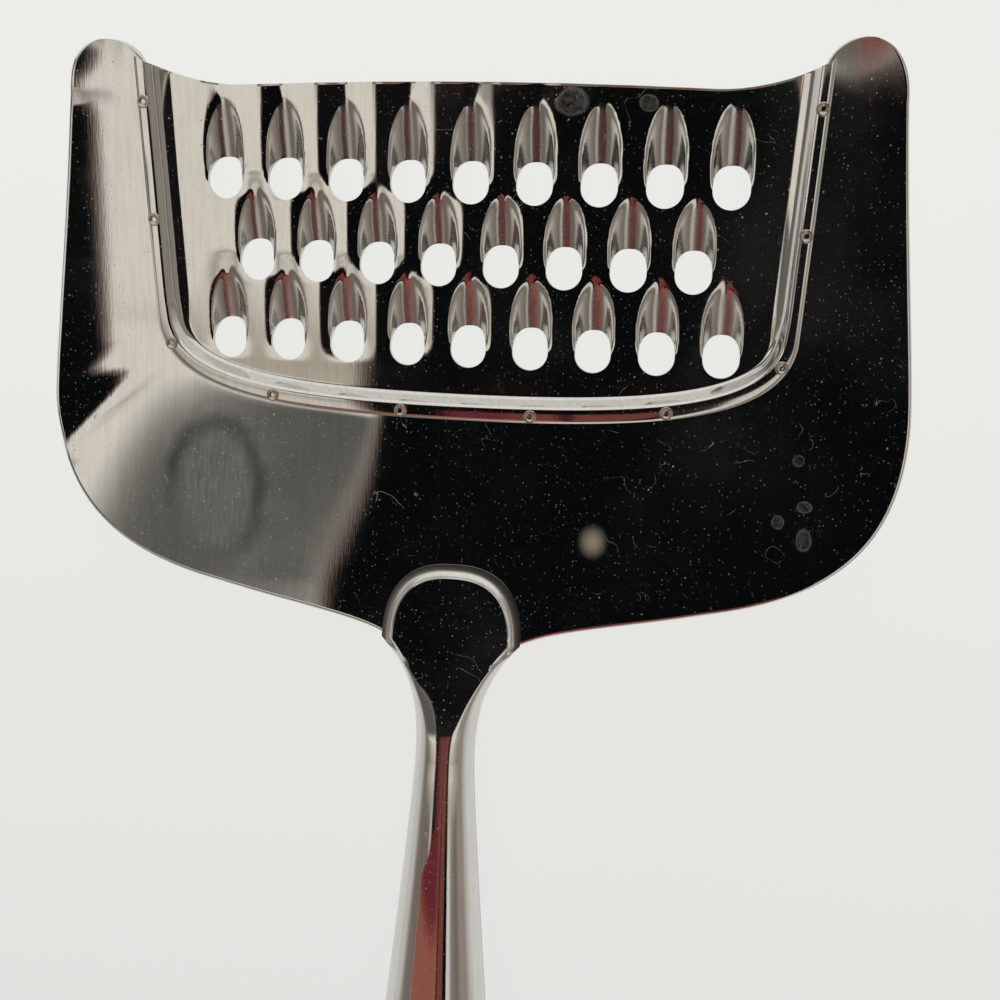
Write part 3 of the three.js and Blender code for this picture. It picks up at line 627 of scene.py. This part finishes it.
def wall_profile(y):
    """Fold of the panel's rim at y: pairs of distance outside the floor line and height."""
    side = smooth((y - SIDE_START) / SIDE_RUN)
    mouth = smooth((y - MOUTH_START) / MOUTH_RUN)
    lower = REAR_BEND + (LOWER_BEND - REAR_BEND) * side + (MOUTH_BEND - LOWER_BEND) * mouth
    top = Vector((REAR_RUN + (WALL_RUN - REAR_RUN) * side, PANEL_STEP))
    slant = top.normalized()
    points = []
    for i in range(BEND_STEPS + 1):
        t = i / BEND_STEPS
        points.append((1 - t) ** 2 * Vector((-lower, 0)) + t * t * lower * slant)
    for i in range(BEND_STEPS + 1):
        t = i / BEND_STEPS
        points.append((1 - t) ** 2 * (top - UPPER_BEND * slant) + 2 * t * (1 - t) * top +
                      t * t * (top + Vector((UPPER_BEND, 0))))
    for i in range(5):
        t = i / 4
        points.append(Vector((FLANGE_EDGE - FLANGE_ROUND * (1 - t), PANEL_STEP - FLANGE_DROOP * t * t)))
    return points


side_turns = [(CORNER_TURN + (1 - CORNER_TURN) * i / CORNER_LINES, 0.0) for i in range(CORNER_LINES + 1)]
side_turns += [(1.0, (i + 1) / SIDE_LINES) for i in range(SIDE_LINES)]
RIM_STEPS = len(wall_profile(0.0)) - 1


def rim_point(side, t, f, step):
    d, z = wall_profile(floor_line(t, f, 0).y)[step]
    p = floor_line(t, f, d)
    return Vector((side * p.x, p.y, z))


def panel_form(u, v):
    """A point of the panel: the floor blended from its four edges, the rim folded off the floor line."""
    i = round(u * (FLOOR_COLUMNS + 2 * RIM_STEPS)) - RIM_STEPS
    j = round(v * (FLOOR_ROWS + RIM_STEPS)) - RIM_STEPS
    past = max(-i, i - FLOOR_COLUMNS, -j, 0)
    column = min(FLOOR_COLUMNS, max(0, i))
    line = max(0, j)
    across = column / FLOOR_COLUMNS
    turn = CORNER_TURN * (2 * across - 1)
    rear_side = -1 if turn < 0 else 1
    if past and -j >= max(-i, i - FLOOR_COLUMNS):
        return rim_point(rear_side, abs(turn), 0.0, past)
    if past:
        return rim_point(-1 if i < 0 else 1, *side_turns[line], past)
    up = line / FLOOR_ROWS
    rear = rim_point(rear_side, abs(turn), 0.0, 0)
    left = rim_point(-1, *side_turns[line], 0)
    right = rim_point(1, *side_turns[line], 0)
    mouth_right = rim_point(1, *side_turns[-1], 0)
    free_x = mouth_right.x * (2 * across - 1)
    free = Vector((free_x, free_edge(free_x), 0))
    low_left = rim_point(-1, *side_turns[0], 0)
    low_right = rim_point(1, *side_turns[0], 0)
    high_left = Vector((-mouth_right.x, mouth_right.y, 0))
    p = (1 - up) * rear + up * free + (1 - across) * left + across * right
    p -= (1 - up) * ((1 - across) * low_left + across * low_right)
    p -= up * ((1 - across) * high_left + across * mouth_right)
    inset = min(column, FLOOR_COLUMNS - column, line) / 4
    return p.x, p.y, floor_height(p.x, p.y) * smooth(inset)


def copy_to(model, spot, height):
    """A copy of a model, with a mesh of its own, set down at a spot and a height."""
    pick_only(model)
    bpy.ops.object.duplicate()
    copy = bpy.context.object
    copy.location = (spot.x, spot.y, height)
    bpy.ops.object.transform_apply(location=True, rotation=True, scale=True)
    return copy


panel_columns = FLOOR_COLUMNS + 2 * RIM_STEPS
panel = press_sheet("grating_panel_pierced", panel_columns, FLOOR_ROWS + RIM_STEPS, panel_form)
bpy.ops.object.mode_set(mode="EDIT")
bpy.ops.mesh.select_all(action="SELECT")
bpy.ops.mesh.remove_doubles(threshold=0.0005)
bpy.ops.object.mode_set(mode="OBJECT")
apply_modifier(panel, "SOLIDIFY", thickness=PANEL_SHEET, offset=-1.0)
apply_modifier(panel, "BEVEL", width=PANEL_EDGE_ROUND, segments=4, limit_method="ANGLE",
               angle_limit=math.radians(65))

bpy.ops.object.select_all(action="DESELECT")
bpy.ops.mesh.primitive_circle_add(vertices=72, radius=HOLE_RADIUS, fill_type="NGON")
punch = bpy.context.object
for vertex in punch.data.vertices:
    if vertex.co.y > 0:
        half = HOLE_RADIUS * abs(vertex.co.x / HOLE_RADIUS) ** LIP_SQUARE
        vertex.co.x = math.copysign(half, vertex.co.x)
        vertex.co.y = LIP_REACH * (vertex.co.y / HOLE_RADIUS) ** LIP_SQUARE
thicken(punch, PUNCH_HEIGHT)
punches = [copy_to(punch, centre, PUNCH_BOTTOM) for centre, _ in teeth]
bpy.data.objects.remove(punch)
pick_only(punches[0])
for copy in punches:
    copy.select_set(True)
bpy.ops.object.join()
punch_set = bpy.context.object
apply_modifier(panel, "BOOLEAN", operation="DIFFERENCE", solver="MANIFOLD", object=punch_set)
bpy.data.objects.remove(punch_set)
lay_on_table(panel, 50)
panel.data.materials.clear()
panel_steel = polished_steel("bright_panel_steel", PANEL_TINT, shine=0.04, grain=0.9, dust=1.0, hollow=0.17,
                             drops=PANEL_DROPS)
panel.data.materials.append(panel_steel)
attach(panel, "root")
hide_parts("grating_panel")


# Flange welds: the ten spot welds that hold the flange to the frame, each a small ring of metal pushed up
# round the dimple that the electrode left, browned by the heat in its middle.
WELD_RING = 0.74
WELD_LINE = 1.85
WELD_SINK = 0.06
WELD_RISE = 0.16
WELD_PROFILE = ((0.10, 0.05), (0.12, 0.0), (0.10, -0.09), (0.12, -0.07))
WELD_SIDE_Y = (17.2, 4.5, -9.35)
WELD_REAR_X = (22.45, 7.35)
WELD_STEPS = 500
WELD_TINT = (0.60, 0.52, 0.45)

weld_line = [floor_line(i / WELD_STEPS, 0, WELD_LINE) for i in range(WELD_STEPS)]
weld_line += [floor_line(1, i / WELD_STEPS, WELD_LINE) for i in range(WELD_STEPS + 1)]


def weld_place(axis, value):
    """The place on the weld line nearest to a value of x (axis 0) or of y (axis 1)."""
    return min(weld_line, key=lambda place: abs(place[axis] - value))


right_places = [weld_place(1, y) for y in WELD_SIDE_Y] + [weld_place(0, x) for x in WELD_REAR_X]
weld_places = [Vector((-p.x, p.y)) for p in right_places] + right_places[::-1]

bpy.ops.object.select_all(action="DESELECT")
bpy.ops.mesh.primitive_circle_add(vertices=40, radius=WELD_RING, fill_type="NGON")
ring = bpy.context.object
bpy.ops.object.mode_set(mode="EDIT")
bpy.ops.mesh.select_all(action="SELECT")
bpy.ops.mesh.extrude_region_move(TRANSFORM_OT_translate={"value": (0, 0, WELD_RISE)})
for thickness, depth in WELD_PROFILE:
    bpy.ops.mesh.inset(thickness=thickness, depth=depth)
bpy.ops.mesh.select_all(action="SELECT")
bpy.ops.mesh.normals_make_consistent(inside=False)
bpy.ops.object.mode_set(mode="OBJECT")
apply_modifier(ring, "SUBSURF", levels=2, render_levels=2)
weld_steel = polished_steel("heat_tinted_weld_steel", WELD_TINT, shine=0.16, grain=1.0, dust=0.3)
for number, spot in enumerate(weld_places):
    weld = copy_to(ring, spot, PANEL_STEP - WELD_SINK)
    weld.name = f"flange_weld_ring_{number + 1:02d}"
    weld.data.name = weld.name
    lay_on_table(weld, 60)
    weld.data.materials.append(weld_steel)
    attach(weld, "root")
    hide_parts(f"flange_weld_{number + 1:02d}")
bpy.data.objects.remove(ring)


# Handle: two drawn half shells of stainless steel closed along a hairline seam and welded over the frame's
# tang. In front both end in a flat round tongue with a hollow-ground rim; behind it the neck turns into an
# oval grip with a closed round end. All of it is mirror polished.
HANDLE_WALL = 0.8
TONGUE_GAP = 0.1
TONGUE_EDGE = 0.12
TONGUE_AHEAD = 8.5
TONGUE_SQUARE = 2.5
HANDLE_SHIFT = -0.38
RIM_WIDTH = 1.4
RIM_HOLLOW = 4.6
SHOULDER_ROUND = 2.4
SHOULDER_RUN = 3.0
RIDGE_HALF = 0.9
RIDGE_RUN = 10.5
RIDGE_POWER = 1.5
SWEEP_POWER = 2.65
SWELL_POWER = 1.2
GRIP_SQUARE = 2.2
GRIP_LEAD = 1.5
NECK_DISTANCE = 13.0
NECK_HALF = 3.35
NECK_CROWN = 2.9
CROWN_RUN = 10.5
BELLY_DISTANCE = 86.0
BELLY_HALF = 9.0
BELLY_CROWN = 6.2
END_LENGTH = 30.0
HANDLE_SLOPE = 0.1225
BEND_START = 5.0
BEND_RUN = 16.0
SEAM_GAP = 0.1
SEAM_CLOSING = 3.0
NECK_Y = APRON_END - NECK_DISTANCE
BELLY_Y = NECK_Y - BELLY_DISTANCE
RIM_COLUMNS = 14
TOP_COLUMNS = 36
SHELL_COLUMNS = 2 * RIM_COLUMNS + TOP_COLUMNS + 2
HANDLE_TINT = (0.79, 0.78, 0.76)
TONGUE_SATIN_AND_RIM_SHADE = (HANDLE_SHIFT, APRON_END, TONGUE_RADIUS, TONGUE_AHEAD, TONGUE_SQUARE)


def apron_top(y):
    return LAND_TOP + dish_rise(FLOOR_REAR - LAND_EDGE - y)


def seam_height(y):
    bend_y = APRON_END - BEND_START
    if y >= bend_y:
        return apron_top(y) - PLATE_SHEET / 2
    run = bend_y - y
    bent = min(run, BEND_RUN) / BEND_RUN
    eased = BEND_RUN * (bent ** 3 - bent ** 4 / 2)
    past = max(0.0, run - BEND_RUN)
    start = apron_top(bend_y) - PLATE_SHEET / 2
    return start + DISH_SLOPE * (run - eased - past) + HANDLE_SLOPE * (eased + past)


def swell(y):
    return math.sin(math.pi / 2 * clamp01((NECK_Y - y) / BELLY_DISTANCE)) ** SWELL_POWER


def end_taper(y):
    return math.sqrt(max(0.0, 1 - max(0.0, (BELLY_Y - y) / END_LENGTH) ** 2))


def handle_half(y):
    if y > NECK_Y:
        sweep = min(1.0, (y - NECK_Y) / NECK_DISTANCE) ** SWEEP_POWER
        return NECK_HALF + (TONGUE_RADIUS - NECK_HALF) * sweep
    return (NECK_HALF + (BELLY_HALF - NECK_HALF) * swell(y)) * end_taper(y)


def handle_crown(y):
    low = PLATE_SHEET / 2 + TONGUE_GAP + HANDLE_WALL
    if y > NECK_Y:
        return low + (NECK_CROWN - low) * smooth((APRON_END - y) / CROWN_RUN)
    return (NECK_CROWN + (BELLY_CROWN - NECK_CROWN) * swell(y)) * end_taper(y)


def slit_half(y):
    wide = PLATE_SHEET / 2 + TONGUE_GAP
    return wide + (SEAM_GAP / 2 - wide) * smooth((APRON_END - TONGUE_EDGE - y) / SEAM_CLOSING)


def flat_half(y):
    """Half-width of the flat on the tongue, which narrows to a ridge on the neck."""
    left = clamp01(1 - (APRON_END - y) / RIDGE_RUN)
    return RIDGE_HALF + (TONGUE_RADIUS - RIM_WIDTH - RIDGE_HALF) * left ** RIDGE_POWER


def shell_rise(x, y, from_edge):
    half = max(0.001, handle_half(y))
    rim = RIM_WIDTH if y > APRON_END else half - flat_half(y)
    climb = clamp01(from_edge / max(0.01, rim))
    tongue = climb ** RIM_HOLLOW
    shoulder = 1 - (1 - climb) ** SHOULDER_ROUND
    tongue += (shoulder - tongue) * smooth((APRON_END - y) / SHOULDER_RUN)
    grip = max(0.0, 1 - min(1.0, abs(x / half)) ** GRIP_SQUARE) ** 0.5
    share = tongue + (grip - tongue) * smooth((APRON_END - GRIP_LEAD - y) / (NECK_DISTANCE - GRIP_LEAD))
    return max(0.0, handle_crown(y) - slit_half(y) - TONGUE_EDGE * end_taper(y)) * share


rows_front = [(math.radians(90 - 3 * i), APRON_END) for i in range(30)]
rows_neck = [(0.0, APRON_END - NECK_DISTANCE * i / 64) for i in range(64)]
rows_grip = [(0.0, NECK_Y - BELLY_DISTANCE * i / 60) for i in range(60)]
rows_end = [(0.0, BELLY_Y - END_LENGTH * math.sin(math.radians(5 * i))) for i in range(19)]
shell_rows = rows_end[::-1] + rows_grip[::-1] + rows_neck[::-1] + rows_front[::-1]


def shell_point(u, v):
    """Plan place on a shell and its distance from the shell's edge."""
    column = min(SHELL_COLUMNS - 1, max(1, round(u * SHELL_COLUMNS))) - 1
    turn, y = shell_rows[round(v * (len(shell_rows) - 1))]
    last = SHELL_COLUMNS - 2
    rim = RIM_WIDTH if turn > 0 else max(0.0, handle_half(y) - flat_half(y))
    near = min(column, last - column)
    run = rim * min(1.0, near / RIM_COLUMNS)
    share = clamp01((column - RIM_COLUMNS) / TOP_COLUMNS)
    if turn > 0:
        reach = (TONGUE_RADIUS - run) * math.cos(turn) ** (2 / TONGUE_SQUARE)
        ahead = (TONGUE_AHEAD - run) * math.sin(turn) ** (2 / TONGUE_SQUARE)
        x = -reach + 2 * reach * share
        return x, APRON_END + ahead, run if share in (0, 1) else RIM_WIDTH
    half = handle_half(y)
    flat = half - run
    tongue_x = -flat + 2 * flat * share
    grip_x = -half * math.cos(math.pi * column / last)
    x = tongue_x + (grip_x - tongue_x) * smooth((APRON_END - y) / NECK_DISTANCE)
    return x, y, half - abs(x)


def shell_form(side, inside):
    def form(u, v):
        x, y, from_edge = shell_point(u if side > 0 else 1 - u, v)
        slit = slit_half(y) * (end_taper(y) if y < BELLY_Y else 1.0)
        rise = shell_rise(x, y, from_edge)
        if inside:
            height = slit + max(0.0, rise - HANDLE_WALL)
        elif round(u * SHELL_COLUMNS) in (0, SHELL_COLUMNS):
            height = slit
        else:
            height = slit + TONGUE_EDGE * end_taper(y) + rise
        return x + HANDLE_SHIFT, y, seam_height(y) + side * height
    return form


handle_steel = polished_steel("mirror_handle_steel", HANDLE_TINT, shine=0.04, grain=0.6, dust=1.2,
                              satin_and_rim_shade=TONGUE_SATIN_AND_RIM_SHADE)
for side, shell_name in ((1, "handle_upper_shell"), (-1, "handle_lower_shell")):
    inner = press_sheet(shell_name + "_inside", SHELL_COLUMNS, len(shell_rows) - 1, shell_form(side, True))
    shell = press_sheet(shell_name + "_drawn", SHELL_COLUMNS, len(shell_rows) - 1, shell_form(side, False))
    pick_only(shell)
    inner.select_set(True)
    bpy.ops.object.join()
    bpy.ops.object.mode_set(mode="EDIT")
    bpy.ops.mesh.select_all(action="SELECT")
    bpy.ops.mesh.remove_doubles(threshold=0.002)
    bpy.ops.mesh.normals_make_consistent(inside=False)
    bpy.ops.object.mode_set(mode="OBJECT")
    lay_on_table(shell, 44)
    shell.data.materials.append(handle_steel)
    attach(shell, "root")
    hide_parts(shell_name)


# Tongue welds: two hidden spot welds through both tongues and the apron between them. They keep their
# solids and take the heat-tinted finish of the flange welds.
for name in ("tongue_weld_left", "tongue_weld_right"):
    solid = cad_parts[name]
    solid.data.materials.clear()
    solid.data.materials.append(weld_steel)


# Table: a wide pale sheet of matt card under the grater, with painted light falloff that makes it a little
# lighter towards the free edge. It lies a hair below the teeth and the handle that rest on it.
TABLE_SIZE = 6.0
TABLE_TOP = -0.0002
TABLE_SHADES = ((0.0, (0.83, 0.83, 0.815, 1)), (1.0, (0.945, 0.95, 0.925, 1)))

bpy.ops.object.select_all(action="DESELECT")
bpy.ops.mesh.primitive_plane_add(size=TABLE_SIZE, location=(0, 0, TABLE_TOP))
table = bpy.context.object
table.name = "table"
card = bpy.data.materials.new("pale_table_card")
card.use_nodes = True
tree = card.node_tree
start = Tone(tree)
ray = start.node("ShaderNodeLightPath", output="Is Camera Ray")
shiny = start.node("ShaderNodeLightPath", output="Is Glossy Ray")
clear = start.node("ShaderNodeLightPath", output="Is Transmission Ray")
along = start.node("ShaderNodeTexCoord", output="Object").axis(1)
# Painted light falloff: the card's colour runs lighter towards the free edge.
shade = start.node("ShaderNodeValToRGB", {"Fac": along.step(-0.06, 0.14)}, stops=TABLE_SHADES)
matt = start.node("ShaderNodeBsdfDiffuse", {"Color": shade, "Roughness": 0.3})
glow = start.node("ShaderNodeEmission", {"Color": shade, "Strength": 1.0})
seen = (ray + shiny * 0.78 + clear).at_most(1.0)
both = start.node("ShaderNodeMixShader", {0: seen * 0.82, 1: matt, 2: glow})
tree.links.new(both.socket, tree.nodes["Material Output"].inputs["Surface"])
table.data.materials.append(card)


# Camera: looking down at the head from a hand's breadth above it, a little to its right, from the place
# and with the lens that put the panel's holes where the photograph has them.
camera = bpy.data.objects.new("camera", bpy.data.cameras.new("camera"))
bpy.context.scene.collection.objects.link(camera)
camera.location = (0.02565677, 0.06702930, 0.14087857)
camera.rotation_euler = (math.radians(-7.12526), math.radians(9.02021), math.radians(2.26526))
camera.data.lens = 45.036
camera.data.sensor_width = 36.0
camera.data.clip_start = 0.005
camera.data.clip_end = 20.0
bpy.context.scene.camera = camera


# Flag: a glowing sheet hung close over the head that paints a reflection into the polished steel: dark,
# with a warm brown part towards the handle, a dim far edge and a cream patch to the left. It is no part of
# the tool: the polished steel mirrors it, and nothing else sees it.
FLAG_HEIGHT = 150.0
FLAG_X = 10.0
FLAG_Y = -90.0
FLAG_WIDE = 480.0
FLAG_LONG = 340.0
CREAM = (0.79, 0.75, 0.67, 1)

bpy.ops.object.select_all(action="DESELECT")
bpy.ops.mesh.primitive_plane_add(size=1.0)
flag = bpy.context.object
flag.name = "painted_reflection_flag"
for vertex in flag.data.vertices:
    vertex.co = (FLAG_X + FLAG_WIDE * vertex.co.x, FLAG_Y + FLAG_LONG * vertex.co.y, FLAG_HEIGHT)
lay_on_table(flag, 30)
reflection_card = bpy.data.materials.new("painted_reflection_card")
reflection_card.use_nodes = True
tree = reflection_card.node_tree
start = Tone(tree)
level = start.node("ShaderNodeTexCoord", output="Object").level()
east = level.axis(0)
north = level.axis(1)
far = north.step(35, 39)
near = (north - (east - 36).at_least(0.0) * 0.4).step(-43, -38)
wide = east.step(-58, -53) * (1 - east.step(78, 90))
strip = 1 - east.step(34, 38)
dark = wide * (1 - far) * near.at_least(strip)
dim = wide * far * (1 - north.step(52, 66))
pale = (1 - east.step(-66, -62)) * north.step(10, 16)
widen = ((-85 - north).at_least(0.0) * 4).at_most(80.0)
warm = (1 - near) * (east + widen).step(-36, -30) * (1 - east.step(17, 22))
left = 1 - east.step(-7, -3)
low = 1 - north.step(-112, -98)
brown = start.mix(left * low, (0.18, 0.058, 0.040, 1), (0.31, 0.105, 0.08, 1))
brown = start.mix(left * (1 - low) * (1 - east.step(-22, -12)), brown, (0.15, 0.024, 0.030, 1))
brown = start.mix(1 - abs(east + 4).step(0.5, 3.5), brown, (0.05, 0.009, 0.016, 1))
dusk = start.mix(east.step(4, 14), (0.22, 0.075, 0.055, 1), (0.14, 0.14, 0.12, 1))
dusk = start.mix(1 - east.step(-40, -28), dusk, (0.58, 0.50, 0.44, 1))
# Painted reflection colours of the glowing sheet: cream, near black, a dim far edge and warm browns.
reflection_colour = start.mix(dark, CREAM, (0.0025, 0.003, 0.0035, 1))
reflection_colour = start.mix(dim, reflection_colour, dusk)
reflection_colour = start.mix((1 - east.step(-55, -50)) * wide, reflection_colour, (0.24, 0.18, 0.155, 1))
reflection_colour = start.mix(warm, reflection_colour, brown)
glow = start.node("ShaderNodeEmission", {"Color": reflection_colour, "Strength": 1.0})
gone = start.node("ShaderNodeBsdfTransparent")
cover = dark.at_least(warm).at_least(dim).at_least(pale)
both = start.node("ShaderNodeMixShader", {0: cover, 1: gone, 2: glow})
tree.links.new(both.socket, tree.nodes["Material Output"].inputs["Surface"])
flag.data.materials.append(reflection_card)
flag.visible_camera = False
flag.visible_diffuse = False
flag.visible_shadow = False
flag.visible_transmission = False


# Room: pale walls all round, grey high up in front and streaked to the sides, as the polished steel
# mirrors them. It lights the table and the tool; the picture sees only its even pale tone.
world = bpy.data.worlds.new("pale_room")
bpy.context.scene.world = world
world.use_nodes = True
tree = world.node_tree
start = Tone(tree)
ray = start.node("ShaderNodeLightPath", output="Is Camera Ray")
way = start.node("ShaderNodeTexCoord", output="Generated")
way = start.node("ShaderNodeVectorRotate", {"Vector": way, "Angle": -TIP_ANGLE}, rotation_type="X_AXIS")
up = way.axis(2).at_least(0.05)
sideways = way.axis(0) / up
forward = way.axis(1) / up
slanted = forward - 0.25 * sideways
aside = abs(sideways)
ahead = (forward - 0.75 * aside).step(0.15, 0.45)
room = start.mix(slanted.step(0.11, 0.22), CREAM, (0.110, 0.110, 0.099, 1))
room = start.mix(ahead, room, (0.86, 0.85, 0.82, 1))
right = start.node("ShaderNodeValToRGB", {"Fac": sideways * 0.25}, stops=(
    (0.0, (0.26, 0.235, 0.205, 1)),
    (0.38, (0.26, 0.235, 0.205, 1)),
    (0.44, (0.11, 0.10, 0.085, 1)),
    (0.50, (0.46, 0.43, 0.37, 1)),
    (0.57, (0.20, 0.18, 0.155, 1)),
    (0.70, (0.30, 0.27, 0.235, 1)),
    (0.80, (0.22, 0.20, 0.17, 1)),
    (0.87, (0.36, 0.33, 0.285, 1)),
))
room = start.mix(sideways.step(0.4, 0.9) * (1 - ahead), room, right)
room = start.mix((1 - sideways.step(-1.3, -1.0)) * (1 - ahead), room, (0.15, 0.14, 0.12, 1))
room = start.mix((1 - forward.step(-0.14, -0.06)) * (1 - aside.step(1.0, 1.3)), room, (0.46, 0.40, 0.33, 1))
behind = start.node("ShaderNodeValToRGB", {"Fac": (sideways + 3) * (1 / 6)}, stops=(
    (0.0, (0.58, 0.57, 0.53, 1)),
    (0.12, (0.50, 0.48, 0.44, 1)),
    (0.25, (0.22, 0.19, 0.165, 1)),
    (0.415, (0.17, 0.145, 0.12, 1)),
    (0.426, (0.66, 0.62, 0.56, 1)),
    (0.56, (0.70, 0.66, 0.60, 1)),
    (0.575, (0.26, 0.245, 0.215, 1)),
    (0.625, (0.17, 0.16, 0.14, 1)),
    (0.69, (0.34, 0.27, 0.215, 1)),
    (0.80, (0.31, 0.265, 0.22, 1)),
    (1.0, (0.50, 0.48, 0.45, 1)),
))
room = start.mix(1 - forward.step(-0.21, -0.13), room, behind)
room = start.mix(aside.step(3.5, 6.0), room, (0.60, 0.59, 0.56, 1))
backdrop = start.mix(ray, room, (0.82, 0.825, 0.80, 1))
glow = start.node("ShaderNodeBackground", {"Color": backdrop, "Strength": 1.0})
tree.links.new(glow.socket, tree.nodes["World Output"].inputs["Surface"])

bpy.context.scene.view_settings.view_transform = "Standard"
